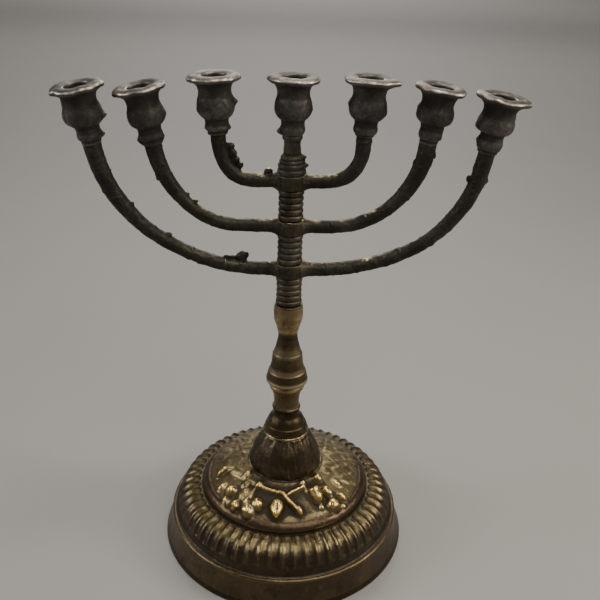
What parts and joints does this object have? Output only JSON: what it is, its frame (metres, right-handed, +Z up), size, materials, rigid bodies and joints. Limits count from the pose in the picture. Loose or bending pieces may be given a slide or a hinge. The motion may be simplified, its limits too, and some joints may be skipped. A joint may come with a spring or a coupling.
{
  "type": "seven-branched table menorah",
  "caption": "Cast brass table menorah: ringed column on a fluted domed base, curved branches in one plane and a socketed candle cup on every end.",
  "frame": {"origin": "centre of the foot on the table", "axes": "+Z up the column; the branches lie in the XZ plane; the front faces -Y"},
  "size_m": [0.2363, 0.15, 0.2825],
  "materials": {
    "base_brass": "antiqued cast brass, olive-brown with gold worn high spots",
    "column_brass": "antiqued cast brass, dark in the grooves",
    "branch_brass": "rough cast brass with a nearly black patina",
    "cup_brass": "rough cast brass, dark patina, rims worn bright",
    "rod_steel": "dull zinc plating"
  },
  "bodies": {
    "root": {"base_shell": "base_brass", "foot_cone": "base_brass", "cone_ring": "column_brass", "shoulder_knop": "column_brass", "waist_spool": "column_brass", "bell_bead": "column_brass", "bell": "column_brass", "vase": "column_brass", "lower_sleeve": "column_brass", "middle_sleeve": "column_brass", "upper_sleeve": "column_brass", "neck_collar": "column_brass", "outer_branch": "branch_brass", "middle_branch": "branch_brass", "inner_branch": "branch_brass", "candle_cup_centre": "cup_brass", "candle_cup_left_outer": "cup_brass", "candle_cup_right_outer": "cup_brass", "candle_cup_left_middle": "cup_brass", "candle_cup_right_middle": "cup_brass", "candle_cup_left_inner": "cup_brass", "candle_cup_right_inner": "cup_brass", "tie_rod": "rod_steel", "rod_washer": "rod_steel", "rod_nut": "rod_steel"}
  },
  "joints": []
}
